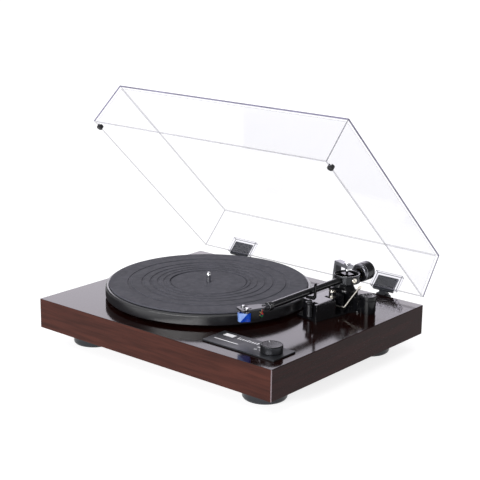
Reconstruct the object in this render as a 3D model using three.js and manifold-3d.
// A direct-drive record player: a solid veneered plinth on four round feet, a cast platter with a rubber
// mat, a gimballed straight tonearm with an angled headshell, and a clear hinged dust cover standing open.
// Millimetres, +Z up. The origin is on the floor, at the middle of the whole object's outline.

import * as THREE from 'three';
import { ConvexGeometry } from 'three/addons/geometries/ConvexGeometry.js';
import { mergeVertices } from 'three/addons/utils/BufferGeometryUtils.js';
import Module from 'manifold-3d';

const wasm = await Module();
wasm.setup();

// ---------------------------------------------------------------------------------------------------
// Driving dimensions. The deck frame has its origin at the middle of the plinth's top face.

const GAP = 0.3;

const PLINTH_WIDTH = 435;
const PLINTH_DEPTH = 353;
const PLINTH_HEIGHT = 44;
const FOOT_RADIUS = 30.4;
const FOOT_HEIGHT = 24.2;
const FOOT_INSET = { x: 55.2, y: 56.2 };
const FLOOR_Z = -(PLINTH_HEIGHT + FOOT_HEIGHT);

const SPINDLE = { x: -45.3, y: 1.7 };
const PLATTER_RADIUS = 152;
const PLATTER_TOP = 19.4;
const PLATTER_BOTTOM = 3.7;
const MAT_RADIUS = 146.6;
const MAT_TOP = 22;
const LABEL_RADIUS = 57;
const SPINDLE_TOP = 36;
const SPINDLE_RADIUS = 3.55;

const PANEL = { left: 80, right: 202, front: -153, rear: -107, thickness: 2 };
const KNOB = { x: 180.6, y: -130.5, radius: 15, top: 13.3 };

const PIVOT = { x: 128.8, y: 107.3 };
const ARM_AXIS_Z = 39.2;
const TUBE_RADIUS = 4.8;
const COLLAR_FRONT_Y = -77;
const HEAD_ANGLE = THREE.MathUtils.degToRad(25);
const BEARING_ANGLE = THREE.MathUtils.degToRad(20.4);
const RING_OUTER = 19.1;
const RING_INNER = 16.6;
const RING_HEIGHT = 12.3;
const HEADSHELL_TOP = 42;
const STYLUS_TIP_Z = 22.6;

const BASE_CORNER = { x: 148.5, y: 7.4 };
const BASE_TURN = THREE.MathUtils.degToRad(-9.7);
const BASE_PLATE_TOP = 2.8;
const BLOCK_TOP = 24.2;

const COVER = {
  width: 425.5, depth: 346.5, height: 70, wall: 3,
  insetSide: 3.7, insetFront: 4, insetRear: 4.5,
};
const COVER_OPEN_ANGLE = THREE.MathUtils.degToRad(43.9);
const COVER_REAR_EDGE = { y: 183, z: 9 };
const HINGE_X = 141.2;

// The hinge axis in the cover's own frame (u forwards from the rear edge, v upwards from the rim).
const HINGE_U = -12.4;
const HINGE_V = -9;
const KNUCKLE_RADIUS = 8;
const HINGE_PIN_RADIUS = 2;

// ---------------------------------------------------------------------------------------------------
// Finishes

const FINISHES = {
  veneer: { color: 0x4a2a24, roughness: 0.12, metalness: 0 },
  board: { color: 0x1b1a1a, roughness: 0.7, metalness: 0 },
  black_satin: { color: 0x17181b, roughness: 0.35, metalness: 0.4 },
  black_plastic: { color: 0x141517, roughness: 0.5, metalness: 0 },
  black_anodised: { color: 0x202226, roughness: 0.4, metalness: 0.6 },
  rubber: { color: 0x2a2b30, roughness: 0.9, metalness: 0 },
  steel: { color: 0xc9cbd0, roughness: 0.2, metalness: 1 },
  satin_metal: { color: 0x9a9ca2, roughness: 0.35, metalness: 0.9 },
  brass: { color: 0xc7a352, roughness: 0.3, metalness: 1 },
  iron: { color: 0x55565a, roughness: 0.5, metalness: 0.8 },
  circuit: { color: 0x1f5a3a, roughness: 0.5, metalness: 0 },
  acrylic: { color: 0xe9e8f2, roughness: 0.05, metalness: 0, transparent: true, opacity: 0.25 },
  stylus_blue: { color: 0x1458b8, roughness: 0.2, metalness: 0 },
  lead_insulation: { color: 0xb03030, roughness: 0.5, metalness: 0 },
};

// ---------------------------------------------------------------------------------------------------
// Geometry helpers

// Joins coincident points and drops the slivers that a turned profile leaves on its axis.
function weld(geometry) {
  const bare = geometry.clone();
  bare.deleteAttribute('normal');
  bare.deleteAttribute('uv');
  const merged = mergeVertices(bare, 1e-4);
  const index = merged.index.array;
  const kept = [];
  for (let i = 0; i < index.length; i += 3) {
    const [a, b, c] = [index[i], index[i + 1], index[i + 2]];
    if (a !== b && b !== c && c !== a) kept.push(a, b, c);
  }
  merged.setIndex(kept);
  return merged;
}

function signedVolume(geometry) {
  const position = geometry.attributes.position;
  const index = geometry.index.array;
  const [a, b, c] = [new THREE.Vector3(), new THREE.Vector3(), new THREE.Vector3()];
  let volume = 0;
  for (let i = 0; i < index.length; i += 3) {
    a.fromBufferAttribute(position, index[i]);
    b.fromBufferAttribute(position, index[i + 1]);
    c.fromBufferAttribute(position, index[i + 2]);
    volume += a.dot(b.cross(c)) / 6;
  }
  return volume;
}

// A closed geometry with its faces pointing outwards.
function closed(geometry) {
  const welded = weld(geometry);
  if (signedVolume(welded) < 0) {
    const index = Array.from(welded.index.array);
    for (let i = 0; i < index.length; i += 3) {
      [index[i + 1], index[i + 2]] = [index[i + 2], index[i + 1]];
    }
    welded.setIndex(index);
  }
  return welded;
}

function toSolid(geometry) {
  const ready = closed(geometry);
  return new wasm.Manifold(new wasm.Mesh({
    numProp: 3,
    vertProperties: new Float32Array(ready.attributes.position.array),
    triVerts: new Uint32Array(ready.index.array),
  }));
}

function fromSolid(solid) {
  const mesh = solid.getMesh();
  const geometry = new THREE.BufferGeometry();
  geometry.setAttribute('position', new THREE.BufferAttribute(new Float32Array(mesh.vertProperties), 3));
  geometry.setIndex(Array.from(mesh.triVerts));
  return geometry;
}

function cut(body, ...tools) {
  return fromSolid(tools.reduce((solid, tool) => solid.subtract(toSolid(tool)), toSolid(body)));
}

function join(body, ...others) {
  return fromSolid(others.reduce((solid, other) => solid.add(toSolid(other)), toSolid(body)));
}

// Turns a profile of [radius, z] points about the Z axis. It starts and ends on the axis, or closes.
function turned(profile, segments = 32) {
  const points = profile.map(([radius, z]) => new THREE.Vector2(radius, z));
  const startsOnAxis = profile[0][0] === 0;
  if (!startsOnAxis) points.push(points[0].clone());
  return closed(new THREE.LatheGeometry(points, segments).rotateX(Math.PI / 2));
}

// A cylinder between two heights, with an optional chamfer on its top edge.
function disc(radius, low, high, segments = 32, chamfer = 0) {
  const top = chamfer > 0 ? [[radius, high - chamfer], [radius - chamfer, high]] : [[radius, high]];
  return turned([[0, low], [radius, low], ...top, [0, high]], segments);
}

function ringOf(inner, outer, low, high, segments = 32) {
  return turned([[inner, low], [outer, low], [outer, high], [inner, high]], segments);
}

// A box given by its lowest and highest corners.
function boxBetween([x0, y0, z0], [x1, y1, z1]) {
  const box = new THREE.BoxGeometry(x1 - x0, y1 - y0, z1 - z0);
  return closed(box.translate((x0 + x1) / 2, (y0 + y1) / 2, (z0 + z1) / 2));
}

// A six-sided body between two rectangles, each given as { x0, x1, y0, y1, z }.
function taperedBox(low, high) {
  const corners = [low, high].flatMap(
    ({ x0, x1, y0, y1, z }) => [x0, y0, z, x1, y0, z, x1, y1, z, x0, y1, z]);
  const quads = [[3, 2, 1, 0], [4, 5, 6, 7], [0, 1, 5, 4], [1, 2, 6, 5], [2, 3, 7, 6], [3, 0, 4, 7]];
  const geometry = new THREE.BufferGeometry();
  geometry.setAttribute('position', new THREE.Float32BufferAttribute(corners, 3));
  geometry.setIndex(quads.flatMap(([a, b, c, d]) => [a, b, c, a, c, d]));
  return closed(geometry);
}

// An outline with rounded corners, from a list of [x, y] corner points.
function roundedOutline(corners, radius) {
  const shape = new THREE.Shape();
  const points = corners.map(([x, y]) => new THREE.Vector2(x, y));
  points.forEach((point, i) => {
    const before = points[(i + points.length - 1) % points.length];
    const after = points[(i + 1) % points.length];
    const enter = before.clone().sub(point).setLength(radius).add(point);
    const leave = after.clone().sub(point).setLength(radius).add(point);
    if (i === 0) shape.moveTo(enter.x, enter.y);
    else shape.lineTo(enter.x, enter.y);
    shape.quadraticCurveTo(point.x, point.y, leave.x, leave.y);
  });
  shape.closePath();
  return shape;
}

// A flat plate: the outline in X and Y, pushed up from one height to another.
function plate(corners, radius, low, high, curveSegments = 3) {
  const settings = { depth: high - low, bevelEnabled: false, curveSegments };
  return closed(new THREE.ExtrudeGeometry(roundedOutline(corners, radius), settings).translate(0, 0, low));
}

function rectangle(x0, y0, x1, y1) {
  return [[x0, y0], [x1, y0], [x1, y1], [x0, y1]];
}

// A round bar along a curve through the given points.
function barAlong(points, radius, sides, steps) {
  const section = new THREE.Shape();
  section.absarc(0, 0, radius, 0, Math.PI * 2);
  const path = new THREE.CatmullRomCurve3(points.map(([x, y, z]) => new THREE.Vector3(x, y, z)));
  const settings = { steps, extrudePath: path, curveSegments: sides / 2, bevelEnabled: false };
  return closed(new THREE.ExtrudeGeometry(section, settings));
}

// Lays something turned about Z along Y, its low end towards the front.
const alongY = (geometry) => geometry.rotateX(-Math.PI / 2);
const alongX = (geometry) => geometry.rotateY(Math.PI / 2);
const at = (geometry, x, y, z = 0) => geometry.translate(x, y, z);

// ---------------------------------------------------------------------------------------------------
// The scene graph

const model = new THREE.Group();
const deck = new THREE.Group();
model.add(deck);

function add(parent, name, geometry, finish) {
  const mesh = new THREE.Mesh(geometry, new THREE.MeshStandardMaterial(FINISHES[finish]));
  mesh.name = name;
  parent.add(mesh);
  return mesh;
}

// ---------------------------------------------------------------------------------------------------
// Plinth, feet and what the plinth holds

const POCKET = { x0: 168, x1: 204, y0: -148, y1: -60, ceiling: -14 };
const POCKET_REBATE = { margin: 4, depth: 3 };
const REAR_POCKET = { x0: 64, x1: 106, depth: 42, low: -36, high: -10 };
const MOTOR_RADIUS = 42;
const MOTOR_DEPTH = 29;
const SWITCH = { half: 12, low: -28, high: POCKET.ceiling - GAP };
const ARM_WIRE_HOLE_RADIUS = 5;

function addPlinth() {
  const halfWidth = PLINTH_WIDTH / 2;
  const halfDepth = PLINTH_DEPTH / 2;
  const { margin, depth } = POCKET_REBATE;
  const slab = boxBetween([-halfWidth, -halfDepth, -PLINTH_HEIGHT], [halfWidth, halfDepth, 0]);
  const motorBore = at(disc(MOTOR_RADIUS + 0.6, -MOTOR_DEPTH - 1, 1, 32), SPINDLE.x, SPINDLE.y);
  const shaftHole = at(disc(3.6, POCKET.ceiling - 1, 1, 20), KNOB.x, KNOB.y);
  const wireHole = at(disc(ARM_WIRE_HOLE_RADIUS, -30, 1, 20), PIVOT.x, PIVOT.y);
  const pocket = boxBetween(
    [POCKET.x0, POCKET.y0, -PLINTH_HEIGHT - 1], [POCKET.x1, POCKET.y1, POCKET.ceiling]);
  const rebate = boxBetween(
    [POCKET.x0 - margin, POCKET.y0 - margin, -PLINTH_HEIGHT - 1],
    [POCKET.x1 + margin, POCKET.y1 + margin, -PLINTH_HEIGHT + depth]);
  const rearPocket = boxBetween(
    [REAR_POCKET.x0, halfDepth - REAR_POCKET.depth, REAR_POCKET.low],
    [REAR_POCKET.x1, halfDepth + 1, REAR_POCKET.high]);
  add(deck, 'plinth', cut(slab, motorBore, shaftHole, wireHole, pocket, rebate, rearPocket), 'veneer');

  const coverInset = GAP - margin;
  add(deck, 'bottom_cover', boxBetween(
    [POCKET.x0 + coverInset, POCKET.y0 + coverInset, -PLINTH_HEIGHT],
    [POCKET.x1 - coverInset, POCKET.y1 - coverInset, -PLINTH_HEIGHT + depth - GAP]), 'board');
}

function addFeet() {
  const top = -PLINTH_HEIGHT - GAP;
  const profile = [
    [0, FLOOR_Z], [FOOT_RADIUS - 1.4, FLOOR_Z], [FOOT_RADIUS, FLOOR_Z + 2.4], [FOOT_RADIUS, top - 1],
    [FOOT_RADIUS - 1, top], [0, top],
  ];
  for (const [front, y] of [['front', -1], ['rear', 1]]) {
    for (const [side, x] of [['left', -1], ['right', 1]]) {
      const foot = add(deck, `foot_${front}_${side}`, turned(profile, 24), 'black_satin');
      foot.position.set(x * (PLINTH_WIDTH / 2 - FOOT_INSET.x), y * (PLINTH_DEPTH / 2 - FOOT_INSET.y), 0);
    }
  }
}

function addMotor() {
  const flange = 50;
  const flangeTop = 2.8;
  const bearingRadius = 9;
  const housing = turned([
    [bearingRadius + GAP, -MOTOR_DEPTH], [MOTOR_RADIUS, -MOTOR_DEPTH], [MOTOR_RADIUS, GAP], [flange, GAP],
    [flange, flangeTop], [33, flangeTop], [33, 1.2], [bearingRadius + GAP, 1.2],
  ], 32);
  add(deck, 'motor_stator', at(housing, SPINDLE.x, SPINDLE.y), 'satin_metal');

  const bearing = turned([
    [0, -27], [bearingRadius, -27], [bearingRadius, 2.6], [SPINDLE_RADIUS + 0.35, 2.6],
    [SPINDLE_RADIUS + 0.35, -24], [0, -24],
  ], 20);
  add(deck, 'main_bearing', at(bearing, SPINDLE.x, SPINDLE.y), 'brass');
}

function addPanelAndSwitch() {
  const low = GAP;
  const high = GAP + PANEL.thickness;
  const sheet = plate(rectangle(PANEL.left, PANEL.front, PANEL.right, PANEL.rear), 1.2, low, high, 2);
  const hole = at(disc(3.6, low - 1, high + 1, 20), KNOB.x, KNOB.y);
  add(deck, 'control_panel', cut(sheet, hole), 'black_anodised');

  const body = boxBetween(
    [KNOB.x - SWITCH.half, KNOB.y - SWITCH.half, SWITCH.low],
    [KNOB.x + SWITCH.half, KNOB.y + SWITCH.half, SWITCH.high]);
  const bore = at(disc(3.4, SWITCH.low + 1.5, SWITCH.high + 1, 20), KNOB.x, KNOB.y);
  add(deck, 'speed_switch', cut(body, bore), 'black_plastic');

  const boardTop = -30;
  const boardThickness = 1.6;
  const margin = 2;
  const board = boxBetween(
    [POCKET.x0 + margin, POCKET.y0 + margin, boardTop - boardThickness],
    [POCKET.x1 - margin, POCKET.y1 - margin, boardTop]);
  const sunk = boardTop - 0.1;
  const chip = boxBetween([174, -100, sunk], [188, -88, boardTop + 2.4]);
  const regulator = boxBetween([192, -102, sunk], [200, -86, boardTop + 9]);
  const capacitors = [176, 186, 196].map((x) => at(disc(3.6, sunk, boardTop + 11, 16), x, -72));
  add(deck, 'control_board', join(board, chip, regulator, ...capacitors), 'circuit');
}

// ---------------------------------------------------------------------------------------------------
// Rear connectors

const JACK_PLATE = { x0: 46, x1: 124, low: -38, high: -6, thickness: 2 };
const REAR_FACE = PLINTH_DEPTH / 2;
const SOCKET_Z = -23;
const SOCKETS = { left: 92, right: 76, power: 54, ground: 106, output: 117 };
const SOCKET_HOLE_RADIUS = 4.4;
const SWITCH_SLOT = { half: 3, reach: 6.5 };
const POWER_SOCKET = { half: 5.5, reach: 6, depth: 5 };

function addConnectors() {
  const inner = REAR_FACE + GAP;
  const outer = inner + JACK_PLATE.thickness;
  const { left, right, power, ground, output } = SOCKETS;
  const sheet = boxBetween([JACK_PLATE.x0, inner, JACK_PLATE.low], [JACK_PLATE.x1, outer, JACK_PLATE.high]);
  const holes = [left, right].map(
    (x) => at(alongY(disc(SOCKET_HOLE_RADIUS, -1, 6, 20)), x, inner - 1, SOCKET_Z));
  const slot = boxBetween(
    [output - SWITCH_SLOT.half, inner - 1, SOCKET_Z - SWITCH_SLOT.reach],
    [output + SWITCH_SLOT.half, outer + 1, SOCKET_Z + SWITCH_SLOT.reach]);
  const groundPost = at(alongY(disc(2, 0, 9, 16)), ground, outer - 0.1, SOCKET_Z);
  add(deck, 'jack_plate', join(cut(sheet, ...holes, slot), groundPost), 'black_anodised');

  // Each phono jack is a sleeve with a blind bore for the plug's pin.
  const jack = turned([
    [0, 1], [4.1, 1], [4.1, 3.2], [6, 3.2], [6, 4.4], [4.1, 4.4], [4.1, 13], [3.3, 13], [3.3, 5], [0, 5],
  ], 24);
  for (const side of ['left', 'right']) {
    const geometry = at(alongY(jack.clone()), SOCKETS[side], inner - 0.6, SOCKET_Z);
    add(deck, `phono_jack_${side}`, geometry, 'brass');
  }

  const powerBody = boxBetween(
    [power - POWER_SOCKET.half, outer + GAP, SOCKET_Z - POWER_SOCKET.reach],
    [power + POWER_SOCKET.half, outer + POWER_SOCKET.depth, SOCKET_Z + POWER_SOCKET.reach]);
  const powerBore = at(alongY(ringOf(1.2, 3.2, 1, 8, 20)), power, outer, SOCKET_Z);
  add(deck, 'power_inlet', cut(powerBody, powerBore), 'black_plastic');

  const nut = at(alongY(ringOf(2.3, 4.6, 0, 4, 12)), ground, outer + 1.2, SOCKET_Z);
  add(deck, 'ground_nut', nut, 'brass');

  // The slider's plate stays behind the jack plate's face, and its thumb piece stands out of the slot.
  const sliderPlate = boxBetween(
    [output - 2.4, inner + GAP, SOCKET_Z - 5.6], [output + 2.4, outer - 0.2, SOCKET_Z + 2]);
  const thumbPiece = boxBetween(
    [output - 2, outer - 0.5, SOCKET_Z - 5], [output + 2, outer + 1.6, SOCKET_Z - 1]);
  add(deck, 'output_switch_slider', join(sliderPlate, thumbPiece), 'black_plastic');
}

// ---------------------------------------------------------------------------------------------------
// Platter group, about the spindle

const platterGroup = new THREE.Group();
platterGroup.position.set(SPINDLE.x, SPINDLE.y, 0);
deck.add(platterGroup);

function addPlatter() {
  const boreRadius = SPINDLE_RADIUS + GAP;
  const webBottom = PLATTER_TOP - 4.9;
  const rimInner = 141;
  const platter = turned([
    [boreRadius, 4.5], [14, 4.5], [14, webBottom], [rimInner, webBottom], [rimInner, PLATTER_BOTTOM],
    [PLATTER_RADIUS, PLATTER_BOTTOM], [PLATTER_RADIUS, PLATTER_TOP - 1.5],
    [PLATTER_RADIUS - 1.6, PLATTER_TOP], [boreRadius, PLATTER_TOP],
  ], 64);
  add(platterGroup, 'platter', platter, 'black_satin');

  const low = PLATTER_TOP + GAP;
  const mat = turned([
    [boreRadius, low], [MAT_RADIUS, low], [MAT_RADIUS, MAT_TOP], [LABEL_RADIUS + 1, MAT_TOP],
    [LABEL_RADIUS, MAT_TOP - 0.9], [boreRadius, MAT_TOP - 0.9],
  ], 64);
  add(platterGroup, 'platter_mat', mat, 'rubber');

  const spindleLow = -23.6;
  const spindle = turned([
    [0, spindleLow], [SPINDLE_RADIUS, spindleLow], [SPINDLE_RADIUS, SPINDLE_TOP - 3.6],
    [SPINDLE_RADIUS - 0.7, SPINDLE_TOP - 1.4], [SPINDLE_RADIUS - 2.2, SPINDLE_TOP], [0, SPINDLE_TOP],
  ], 20);
  add(platterGroup, 'spindle', spindle, 'steel');

  add(platterGroup, 'rotor_magnet', ringOf(36, 46, 6.5, webBottom - GAP, 32), 'iron');
}

// ---------------------------------------------------------------------------------------------------
// Tonearm base: plate, block, pillar, bracket, rest and anti-skate tower

// A point of the turned base, measured right and rearwards from its front right corner.
function fromBase(right, rear) {
  const x = BASE_CORNER.x + right * Math.cos(BASE_TURN) - rear * Math.sin(BASE_TURN);
  const y = BASE_CORNER.y + right * Math.sin(BASE_TURN) + rear * Math.cos(BASE_TURN);
  return [x, y];
}

const LIFT = { x: 121, y: 84, radius: 3.2, barLow: 25.8, top: 28.2, travel: 5 };
const CUE = { x: 154.5, y: 65.5, z: 8.5, reach: 41 };
const TOWER = { x: 178, y: 92.5, radius: 10.6, bodyTop: 19.2, dialTop: 26 };
const REST = { x: 131, y: 15.8, radius: 4.2, flangeRadius: 5.7, flangeLow: 22.6, flangeHigh: 24.4 };
const LIFT_HOUSING_TOP = 19;

function addArmBase() {
  const outline = [
    fromBase(-39, 0), fromBase(0, 0), fromBase(0, 68), [166, 82], [174, 82], [174, 104], [150, 128],
    [99, 128], [98, 62],
  ];
  const sheet = plate(outline, 2.5, GAP, BASE_PLATE_TOP, 3);
  const block = plate([
    fromBase(-38.5, 11.5), fromBase(-6.5, 11.5), fromBase(-6.5, 1), fromBase(-0.4, 1), fromBase(-0.4, 39),
    fromBase(-38.5, 39),
  ], 0.8, BASE_PLATE_TOP - 0.5, BLOCK_TOP, 2);
  const liftHousing = plate([
    [106.5, 60], [141, 56], [141, 84], [136, 92], [106.5, 92],
  ], 1.5, BASE_PLATE_TOP - 0.5, LIFT_HOUSING_TOP, 2);
  const boss = at(disc(5.4, LIFT_HOUSING_TOP - 1, LIFT_HOUSING_TOP + 2.2, 20), LIFT.x, LIFT.y);
  const pistonBore = at(disc(LIFT.radius + 0.35, BASE_PLATE_TOP + 0.4, 40, 20), LIFT.x, LIFT.y);
  const shaftBore = at(alongX(disc(2.3, 0, 40, 12)), 118, CUE.y, CUE.z);
  const towerHole = at(disc(4.4, GAP - 1, BASE_PLATE_TOP + 1, 20), PIVOT.x, PIVOT.y);
  const restHole = at(disc(2.6, GAP - 1, BASE_PLATE_TOP + 1, 16), REST.x, REST.y);
  const bored = cut(join(sheet, block, liftHousing, boss), pistonBore, shaftBore, towerHole, restHole);
  add(deck, 'arm_base', bored, 'black_plastic');
}

function addArmPillar() {
  const pillarTop = ARM_AXIS_Z - RING_HEIGHT / 2 - 1.2;
  const foot = plate(rectangle(-13, -11, 13, 12), 2, 0, 20, 2);
  const cone = turned([[0, 18], [13, 18], [13, 22], [9, pillarTop - 1], [8, pillarTop], [0, pillarTop]], 28);
  const bore = disc(3.9, -1, 60, 24);
  const low = BASE_PLATE_TOP + GAP;
  const pillar = cut(join(foot, cone), at(boxBetween([-30, -30, -1], [30, 30, low]), 0, 0), bore);
  add(deck, 'arm_pillar', at(pillar, PIVOT.x, PIVOT.y), 'black_plastic');
}

// The bracket that holds the upper pivot: one leg on the left and a bar over the ring, in the plane of
// the horizontal bearing.
const bracketGroup = new THREE.Group();
bracketGroup.position.set(PIVOT.x, PIVOT.y, 0);
bracketGroup.rotation.z = -BEARING_ANGLE;
deck.add(bracketGroup);

function addBracket() {
  const half = 5.2;
  const barLow = 54;
  const barHigh = 59.4;
  const low = BASE_PLATE_TOP + GAP;
  const outline = [
    [-24, low], [-29.5, low], [-30.5, 22], [-29, 40], [-25.5, barHigh], [8, barHigh], [8, barLow],
    [-20.8, barLow], [-23.6, 40], [-25, 22],
  ];
  const shape = roundedOutline(outline, 0.6);
  const settings = { depth: 2 * half, bevelEnabled: false, curveSegments: 2 };
  const bar = closed(new THREE.ExtrudeGeometry(shape, settings).rotateX(Math.PI / 2).translate(0, half, 0));
  const screwHole = disc(3.3, 40, 70, 20);
  add(bracketGroup, 'pivot_bracket', cut(bar, screwHole), 'black_anodised');

  const screwTip = ARM_AXIS_Z + 6.6;
  const screw = turned([
    [0, screwTip], [1, screwTip], [3, screwTip + 2.4], [3, barHigh + GAP], [4.6, barHigh + GAP],
    [4.6, barHigh + 2], [3.9, barHigh + 2.6], [0, barHigh + 2.6],
  ], 20);
  const slot = boxBetween([-5, -0.5, barHigh + 1.7], [5, 0.5, barHigh + 4]);
  add(bracketGroup, 'upper_pivot_screw', cut(screw, slot), 'steel');
}

// The rest: a post with a flange, and a clip whose saddle lies just below the tube, with a tall finger
// on the right of it.
function addArmRest() {
  const saddleTop = ARM_AXIS_Z - TUBE_RADIUS - 1.2;
  const postLow = BASE_PLATE_TOP + GAP;
  const { radius, flangeRadius, flangeLow, flangeHigh } = REST;
  const neck = 3.2;
  const spigot = 2.3;
  const post = turned([
    [0, 0.8], [spigot, 0.8], [spigot, postLow], [radius, postLow], [radius, flangeLow],
    [flangeRadius, flangeLow], [flangeRadius, flangeHigh], [neck, flangeHigh], [neck, saddleTop - 6],
    [0, saddleTop - 6],
  ], 24);
  add(deck, 'arm_rest_post', at(post, REST.x, REST.y), 'black_satin');

  const fingerInner = TUBE_RADIUS + 2.6;
  const fingerOuter = fingerInner + 2.6;
  const profile = new THREE.Shape();
  profile.moveTo(-6, saddleTop - 5.4);
  profile.lineTo(fingerOuter - 2.4, saddleTop - 5.4);
  profile.lineTo(fingerOuter, saddleTop - 2);
  profile.lineTo(fingerOuter, 48);
  profile.quadraticCurveTo(fingerOuter, 51.4, fingerOuter + 1.2, 52.4);
  profile.lineTo(fingerOuter - 0.8, 52.8);
  profile.quadraticCurveTo(fingerInner, 51, fingerInner, 48);
  profile.lineTo(fingerInner, saddleTop + 1.6);
  profile.quadraticCurveTo(fingerInner - 0.8, saddleTop, 0.5, saddleTop - 0.2);
  profile.lineTo(-6.5, saddleTop - 1.6);
  profile.closePath();
  const half = 1.9;
  const settings = { depth: 2 * half, bevelEnabled: false, curveSegments: 3 };
  const upright = new THREE.ExtrudeGeometry(profile, settings).rotateX(Math.PI / 2);
  const clip = closed(upright.translate(0, half, 0));
  add(deck, 'arm_rest_clip', at(clip, PIVOT.x, REST.y + 3.4), 'black_plastic');
}

function addAntiskate() {
  const body = disc(TOWER.radius, BASE_PLATE_TOP + GAP, TOWER.bodyTop, 24);
  const collar = disc(TOWER.radius - 0.6, GAP, BASE_PLATE_TOP + 1, 24);
  const linkTop = 21.6;
  const dialEdge = -TOWER.radius - 0.4 - GAP;
  const linkBox = join(
    boxBetween([-20, -9, BASE_PLATE_TOP + GAP], [-6, 10, TOWER.bodyTop]),
    boxBetween([-20, -9, BASE_PLATE_TOP + GAP], [dialEdge, 10, linkTop]));
  const shaftBore = disc(2.6, 8, 40, 20);
  const clearance = boxBetween([-30, -30, -1], [-3.6, 30, BASE_PLATE_TOP + GAP]);
  const tower = cut(join(body, cut(collar, clearance), linkBox), shaftBore);
  add(deck, 'antiskate_tower', at(tower, TOWER.x, TOWER.y), 'black_plastic');

  const low = TOWER.bodyTop + GAP;
  const dial = turned([
    [0, 9], [2.3, 9], [2.3, low], [TOWER.radius + 0.4, low], [TOWER.radius + 0.4, TOWER.dialTop - 0.8],
    [TOWER.radius - 0.4, TOWER.dialTop], [0, TOWER.dialTop],
  ], 28);
  const notch = boxBetween([-0.6, 4, TOWER.dialTop - 0.6], [0.6, 14, TOWER.dialTop + 1]);
  add(deck, 'antiskate_dial', at(cut(dial, notch), TOWER.x, TOWER.y), 'black_satin');
}

// ---------------------------------------------------------------------------------------------------
// Cue lever and the arm lift

function addCueing() {
  const rodRadius = 1.3;
  const shaftStart = 119;
  const shaft = at(alongX(disc(1.9, 0, CUE.x - shaftStart, 12)), shaftStart, CUE.y, CUE.z);
  const hub = at(alongX(disc(2.4, 0, 4, 16)), CUE.x - 2, CUE.y, CUE.z);
  const rise = new THREE.Vector3(2.4, 36, 24).normalize();
  const rodEnd = rise.clone().multiplyScalar(CUE.reach).add(new THREE.Vector3(CUE.x, CUE.y, CUE.z));
  const rod = barAlong([[CUE.x, CUE.y, CUE.z], rodEnd.toArray()], rodRadius, 10, 1);
  const tab = plate(rectangle(-2.2, -3, 2.2, 3.4), 1.2, -0.8, 0.8, 2);
  tab.rotateX(Math.atan2(rise.z, rise.y)).translate(rodEnd.x, rodEnd.y, rodEnd.z);
  add(deck, 'cue_lever', join(shaft, hub, rod, tab), 'steel');

  // The lift: a piston with a flat bar across its top, under the tube.
  const piston = disc(LIFT.radius, 12.6, LIFT.barLow + 0.6, 20);
  const bar = plate([[-13, -2.6], [15, -2.6], [15, 2.6], [-13, 2.6]], 2, LIFT.barLow, LIFT.top, 3);
  add(deck, 'lift_bar', at(join(piston, bar), LIFT.x, LIFT.y), 'satin_metal');
}

// ---------------------------------------------------------------------------------------------------
// Tonearm

const armGroup = new THREE.Group();
armGroup.position.set(PIVOT.x, PIVOT.y, ARM_AXIS_Z);
deck.add(armGroup);

// The bearing's own frame: X along the horizontal bearing screws.
const bearingGroup = new THREE.Group();
bearingGroup.rotation.z = -BEARING_ANGLE;
armGroup.add(bearingGroup);

// The headshell's own frame: Y forwards along the headshell from the collar's front.
const headGroup = new THREE.Group();
headGroup.position.set(0, COLLAR_FRONT_Y - PIVOT.y, 0);
headGroup.rotation.z = Math.PI - HEAD_ANGLE;
armGroup.add(headGroup);

function addGimbal() {
  const half = RING_HEIGHT / 2;
  const innerBlock = plate(rectangle(-8.6, -6.6, 8.6, 6.6), 1.2, -6.2, 6.2, 2);
  const pivotCup = disc(3.4, 5.2, 6.3, 20);
  const cone = turned([[0, 4.4], [0.6, 4.4], [3, 7.4], [0, 7.4]], 20);
  add(bearingGroup, 'bearing_block', cut(join(innerBlock, pivotCup), cone), 'satin_metal');

  const shaft = disc(3.5, 14 - ARM_AXIS_Z, -6.5, 24);
  add(bearingGroup, 'pivot_shaft', shaft, 'steel');

  const wall = ringOf(RING_INNER, RING_OUTER, -half, half, 36);
  const screwHoles = alongX(disc(3.4, -30, 30, 16));
  add(bearingGroup, 'gimbal_ring', cut(wall, screwHoles), 'black_satin');

  const screw = turned([
    [0, 8.9], [0.5, 8.9], [3, 11.2], [3, RING_OUTER + 0.3], [2.2, RING_OUTER + 1], [0, RING_OUTER + 1],
  ], 16);
  const slot = boxBetween([-4, -0.4, RING_OUTER + 0.3], [4, 0.4, RING_OUTER + 3]);
  for (const [side, turn] of [['right', Math.PI / 2], ['left', -Math.PI / 2]]) {
    add(bearingGroup, `bearing_screw_${side}`, cut(screw, slot).rotateY(turn), 'steel');
  }
}

const TUBE_REAR = -Math.sqrt((RING_OUTER - 0.6) ** 2 - TUBE_RADIUS ** 2);
const COLLAR_LENGTH = 9;
const COLLAR_RADIUS = 6.4;

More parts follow.
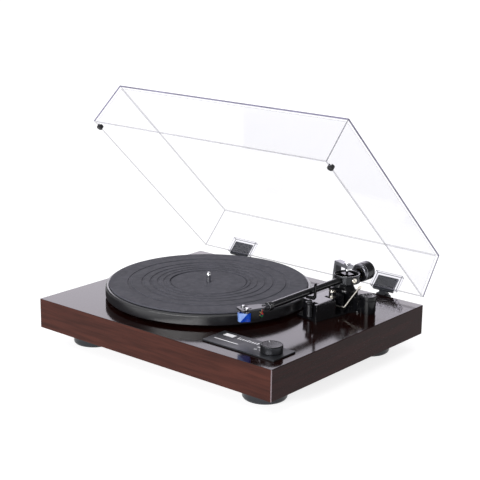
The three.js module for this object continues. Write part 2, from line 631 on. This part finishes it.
function addTube() {
  const front = COLLAR_FRONT_Y + COLLAR_LENGTH - PIVOT.y;
  const bar = alongY(disc(TUBE_RADIUS, 0, TUBE_REAR - 1.5 - front, 28));
  const root = alongY(disc(TUBE_RADIUS + 0.6, 0, 6, 28)).translate(0, TUBE_REAR - 7 - front, 0);
  const rearEnd = alongY(disc(TUBE_RADIUS, 0, 8, 28)).translate(0, TUBE_REAR - 4 - front, 0);
  const ringClearance = disc(RING_OUTER + GAP, -20, 20, 48).translate(0, -front, 0);
  const tube = cut(join(bar, root, rearEnd), ringClearance);
  add(armGroup, 'arm_tube', tube.translate(0, front, 0), 'black_satin');

  const collar = turned([
    [0, 0.4], [5.6, 0.4], [COLLAR_RADIUS, 1.2], [COLLAR_RADIUS, COLLAR_LENGTH - 1.6],
    [TUBE_RADIUS + 0.4, COLLAR_LENGTH - GAP], [0, COLLAR_LENGTH - GAP],
  ], 24);
  const placed = alongY(collar).translate(0, COLLAR_FRONT_Y - PIVOT.y, 0);
  add(armGroup, 'headshell_collar', placed, 'black_anodised');
}

const HEADSHELL = { length: 41.5, width: 21, thickness: 2.6, neck: 9.6 };
const CARTRIDGE_SCREW = { forward: 32.6, side: 6 };
const CARTRIDGE = { rear: 15, front: 27, bottom: -14.2, lugFront: 37 };
const PIN_PLACES = [[-3, -6], [-1, -10], [1, -6], [3, -10]];
const STYLUS = { rear: 27.3, front: 42.4, top: -2.8, bottom: -15.6 };

// In the headshell's frame the stylus side faces down, Y runs forwards and X towards the spindle.
function addHeadshell() {
  const top = HEADSHELL_TOP - ARM_AXIS_Z;
  const low = top - HEADSHELL.thickness;
  const half = HEADSHELL.width / 2;
  const { length, neck } = HEADSHELL;
  const sheet = plate([
    [-neck / 2, 3.6], [neck / 2, 3.6], [half - 2.4, 8], [half, length - 3], [half - 2.4, length],
    [2.4 - half, length], [-half, length - 3], [2.4 - half, 8],
  ], 0.8, low, top, 2);
  const stem = alongY(disc(3.9, -2, 7, 20));
  const slots = [-1, 1].map((side) => {
    const centre = side * CARTRIDGE_SCREW.side;
    const [rear, front] = [CARTRIDGE_SCREW.forward - 7, CARTRIDGE_SCREW.forward + 5];
    return plate(rectangle(centre - 1.5, rear, centre + 1.5, front), 1.2, low - 1, top + 1, 2);
  });
  const liftOutline = [[1 - half, 30], [1 - half, 36], [-half - 7, 39], [-half - 7, 35.6]];
  const fingerLift = plate(liftOutline, 1, low, low + 1.2, 2);
  const neckTrim = boxBetween([-12, -12, -12], [12, 0, 12]).rotateZ(HEAD_ANGLE);
  add(headGroup, 'headshell', cut(join(sheet, stem, fingerLift), ...slots, neckTrim), 'satin_metal');

  for (const [name, side] of [['inner', 1], ['outer', -1]]) {
    const end = low - 2.4;
    const screw = turned([
      [0, end], [1.2, end], [1.2, top + GAP], [2.3, top + GAP], [2.3, top + 1.5], [1.8, top + 1.9],
      [0, top + 1.9],
    ], 16);
    const placed = screw.translate(side * CARTRIDGE_SCREW.side, CARTRIDGE_SCREW.forward, 0);
    add(headGroup, `cartridge_screw_${name}`, placed, 'steel');
  }

  // The cartridge: a square body under the rear of the shell, with a lug that the two screws hold.
  const bodyTop = low - GAP;
  const body = boxBetween([-8, CARTRIDGE.rear, CARTRIDGE.bottom], [8, CARTRIDGE.front, bodyTop]);
  const lug = boxBetween([-8, CARTRIDGE.rear, STYLUS.top + GAP], [8, CARTRIDGE.lugFront, bodyTop]);
  const holes = [-1, 1].map((side) => at(disc(1.5, STYLUS.top, bodyTop + 1, 12),
    side * CARTRIDGE_SCREW.side, CARTRIDGE_SCREW.forward));
  const pins = PIN_PLACES.map(([x, z]) => alongY(disc(0.6, 0, 3, 8)).translate(x, CARTRIDGE.rear - 2.6, z));
  add(headGroup, 'cartridge_body', cut(join(body, lug, ...pins), ...holes), 'black_plastic');

  // The replaceable stylus: a faceted nose in front of the cartridge, with the cantilever's tip below it.
  const { rear, front, top: noseTop, bottom } = STYLUS;
  const corners = [[8, rear, noseTop], [8, front - 10, noseTop], [3, front, noseTop],
    [6.6, rear, bottom], [6.6, front - 3.4, bottom], [4.6, front - 0.8, bottom]];
  const nose = new ConvexGeometry(corners.flatMap(([x, y, z]) => [
    new THREE.Vector3(x, y, z), new THREE.Vector3(-x, y, z)]));
  const tipZ = STYLUS_TIP_Z - ARM_AXIS_Z;
  const tip = turned([[0, tipZ], [0.5, tipZ + 0.5], [0.5, tipZ + 3], [0, tipZ + 3]], 8);
  add(headGroup, 'stylus_unit', join(nose, tip.translate(0, front - 3, 0)), 'stylus_blue');

  // Four leads, joined side by side below the neck, each running to its own pin.
  const leads = PIN_PLACES.map(([x, z], i) => {
    const lane = (i - 1.5) * 1.2;
    return barAlong([
      [lane, 7.7, -2.5], [lane, 8.6, -5], [x, 7.4, z - 2.4], [x, CARTRIDGE.rear - 3.4, z],
    ], 0.7, 6, 5);
  });
  const root = boxBetween([-2.4, 7.3, -3.2], [2.4, 8.1, -1.8]);
  add(headGroup, 'headshell_leads', join(root, ...leads), 'lead_insulation');
}

// ---------------------------------------------------------------------------------------------------
// Counterweight, on a stub behind the ring

const WEIGHT = { front: 35.5, rear: 53, radius: 14, bore: 7 };

function addCounterweight() {
  const stubStart = Math.sqrt(RING_OUTER ** 2 - 5 ** 2);
  const stub = cut(
    join(alongY(disc(5, 0, WEIGHT.rear - stubStart + 0.2, 24)).translate(0, stubStart - 1.5, 0),
      alongY(disc(6.4, 0, 4, 24)).translate(0, stubStart + 1.8, 0)),
    disc(RING_OUTER + GAP, -20, 20, 48));
  add(armGroup, 'counterweight_stub', stub, 'black_satin');

  const sleeve = alongY(ringOf(5.3, WEIGHT.bore - 0.3, WEIGHT.front - 1, WEIGHT.rear - 2, 28));
  add(armGroup, 'counterweight_sleeve', sleeve, 'brass');

  const weight = alongY(turned([
    [WEIGHT.bore, WEIGHT.front], [WEIGHT.radius - 0.6, WEIGHT.front], [WEIGHT.radius, WEIGHT.front + 0.8],
    [WEIGHT.radius, WEIGHT.rear - 1], [WEIGHT.radius - 1, WEIGHT.rear], [WEIGHT.bore, WEIGHT.rear],
  ], 32));
  add(armGroup, 'counterweight', weight, 'black_satin');

  const ringFront = WEIGHT.front - 6.5;
  const scale = alongY(turned([
    [WEIGHT.bore, ringFront], [12, ringFront], [13.6, ringFront + 2], [13.6, WEIGHT.front - GAP],
    [WEIGHT.bore, WEIGHT.front - GAP],
  ], 32));
  add(armGroup, 'scale_ring', scale, 'satin_metal');
}

// ---------------------------------------------------------------------------------------------------
// Dust cover, in its own frame: X across, Y rearwards from the rear edge, Z up from the rim when shut

const coverGroup = new THREE.Group();
coverGroup.position.set(0, COVER_REAR_EDGE.y, COVER_REAR_EDGE.z);
coverGroup.rotation.x = -COVER_OPEN_ANGLE;
deck.add(coverGroup);

function addCover() {
  const { width, depth, height, wall, insetSide, insetFront, insetRear } = COVER;
  // The shell's walls lean in with height, so each rectangle is found from its height.
  const rectangleAt = (z, thickness) => {
    const share = z / height;
    const halfWidth = width / 2 - insetSide * share - thickness;
    return {
      x0: -halfWidth, x1: halfWidth,
      y0: -depth + insetFront * share + thickness, y1: -insetRear * share - thickness, z,
    };
  };
  const outer = taperedBox(rectangleAt(0, 0), rectangleAt(height, 0));
  const inner = taperedBox(rectangleAt(-1, wall), rectangleAt(height - wall, wall));
  add(coverGroup, 'dust_cover', cut(outer, inner), 'acrylic');

  // Two rubber stops, capped over the side walls' lower edges near the front corners.
  const stopY = -depth + 15.3;
  for (const [side, sign] of [['left', -1], ['right', 1]]) {
    const stop = turned([
      [0, -2.7], [3.4, -2.7], [4.4, -1.7], [4.4, 3.6], [3.6, 4.4], [0, 4.4],
    ], 20).translate(sign * (width / 2 - wall / 2), stopY, 0);
    const slotInner = width / 2 - wall - 0.6;
    const slotOuter = width / 2 + 0.3;
    const slot = taperedBox(
      { x0: slotInner, x1: slotOuter, y0: stopY - 6, y1: stopY + 6, z: -0.3 },
      { x0: slotInner, x1: slotOuter, y0: stopY - 6, y1: stopY + 6, z: 6 });
    const placedSlot = sign > 0 ? slot : closed(slot.scale(-1, 1, 1));
    add(coverGroup, `rubber_stop_${side}`, cut(stop, placedSlot), 'rubber');
  }
}

// ---------------------------------------------------------------------------------------------------
// Hinges: a bracket and pin on the plinth's rear face, and a tongue that slides up into a pocket on the
// outside of the cover's rear wall

// The tongue's blade, in the cover's frame: half its width, its two faces and its upper end.
const TONGUE = { half: 17.7, front: 1.6, rear: 4, top: 20.2 };
const KNUCKLE_HALF = 5.8;
const HINGE_AXIS = {
  y: COVER_REAR_EDGE.y - HINGE_U * Math.cos(COVER_OPEN_ANGLE) + HINGE_V * Math.sin(COVER_OPEN_ANGLE),
  z: COVER_REAR_EDGE.z + HINGE_U * Math.sin(COVER_OPEN_ANGLE) + HINGE_V * Math.cos(COVER_OPEN_ANGLE),
};

function addHinge(side, x) {
  // Tongue and pocket: the cover's frame.
  const { half, front, rear: bladeRear, top } = TONGUE;
  const shelfLow = -2.6;
  const shelfHigh = -0.5;
  const blade = boxBetween([-half, front, shelfLow], [half, bladeRear, top]);
  const shelf = boxBetween([-half, front, shelfLow], [half, 6, shelfHigh]);
  const neck = boxBetween([-KNUCKLE_HALF, bladeRear, HINGE_V], [KNUCKLE_HALF, -HINGE_U + 3, shelfHigh]);
  const barrel = alongX(disc(KNUCKLE_RADIUS, -KNUCKLE_HALF, KNUCKLE_HALF, 28));
  const knuckle = barrel.translate(0, -HINGE_U, HINGE_V);
  const bore = alongX(disc(HINGE_PIN_RADIUS + 0.2, -20, 20, 16)).translate(0, -HINGE_U, HINGE_V);
  const tongue = cut(join(blade, shelf, neck, knuckle), bore);
  add(coverGroup, `hinge_tongue_${side}`, tongue.translate(x, 0, 0), 'black_plastic');

  const pocketHalf = half + 6;
  const pocketTop = top + 5.6;
  const pocketOuter = taperedBox(
    { x0: -pocketHalf, x1: pocketHalf, y0: GAP, y1: bladeRear + 2.2, z: 0.4 },
    { x0: -pocketHalf, x1: pocketHalf, y0: -1.3, y1: bladeRear + 1.8, z: pocketTop });
  const pocketSpace = boxBetween([-half - GAP, front - GAP, -1], [half + GAP, bladeRear + GAP, top + GAP]);
  add(coverGroup, `hinge_pocket_${side}`, cut(pocketOuter, pocketSpace).translate(x, 0, 0), 'acrylic');

  // Bracket and pin: the deck's frame.
  const earStart = KNUCKLE_HALF + 0.8;
  const earEnd = earStart + 4;
  const rear = REAR_FACE + GAP;
  const flangeThickness = 2.6;
  const flange = boxBetween([x - 17, rear, -33], [x + 17, rear + flangeThickness, -2]);
  const notch = boxBetween([x - earStart, rear - 1, -17.5], [x + earStart, rear + 6, 0]);
  const ears = [-1, 1].map((sign) => {
    const [x0, x1] = sign < 0 ? [x - earEnd, x - earStart] : [x + earStart, x + earEnd];
    const round = alongX(disc(5.6, 0, x1 - x0, 20)).translate(x0, HINGE_AXIS.y, HINGE_AXIS.z);
    const root = boxBetween([x0, rear + 1, HINGE_AXIS.z - 9], [x1, HINGE_AXIS.y, HINGE_AXIS.z + 3.6]);
    return join(round, root);
  });
  const hole = alongX(disc(HINGE_PIN_RADIUS + 0.2, -20, 20, 16));
  const pinBore = hole.translate(x, HINGE_AXIS.y, HINGE_AXIS.z);
  add(deck, `hinge_bracket_${side}`, cut(join(cut(flange, notch), ...ears), pinBore), 'black_plastic');

  const pin = alongX(disc(HINGE_PIN_RADIUS, -earEnd - 1, earEnd + 1, 16));
  add(deck, `hinge_pin_${side}`, pin.translate(x, HINGE_AXIS.y, HINGE_AXIS.z), 'steel');
}

// ---------------------------------------------------------------------------------------------------
// Speed knob, with its shaft and a pointer notch on the top

function addKnob() {
  const low = GAP + PANEL.thickness + GAP;
  const { radius, top } = KNOB;
  const knob = turned([
    [0, -26], [3, -26], [3, low], [radius - 0.5, low], [radius, low + 0.5], [radius, top - 0.7],
    [radius - 0.7, top], [0, top],
  ], 40);
  const notch = boxBetween([-radius - 1, -0.5, top - 0.5], [-radius + 5, 0.5, top + 1]);
  notch.rotateZ(THREE.MathUtils.degToRad(-35));
  add(deck, 'speed_knob', at(cut(knob, notch), KNOB.x, KNOB.y), 'black_anodised');
}

// ---------------------------------------------------------------------------------------------------

addPlinth();
addFeet();
addMotor();
addPanelAndSwitch();
addKnob();
addConnectors();
addPlatter();
addArmBase();
addArmPillar();
addBracket();
addArmRest();
addAntiskate();
addCueing();
addGimbal();
addTube();
addHeadshell();
addCounterweight();
addCover();
addHinge('left', -HINGE_X);
addHinge('right', HINGE_X);

// The whole object's outline runs from the plinth's front to the open cover's rearmost edge.
const coverRearmost = COVER_REAR_EDGE.y - COVER.insetRear * Math.cos(COVER_OPEN_ANGLE)
  + COVER.height * Math.sin(COVER_OPEN_ANGLE);
deck.position.set(0, -(coverRearmost - PLINTH_DEPTH / 2) / 2, -FLOOR_Z);

export default model;
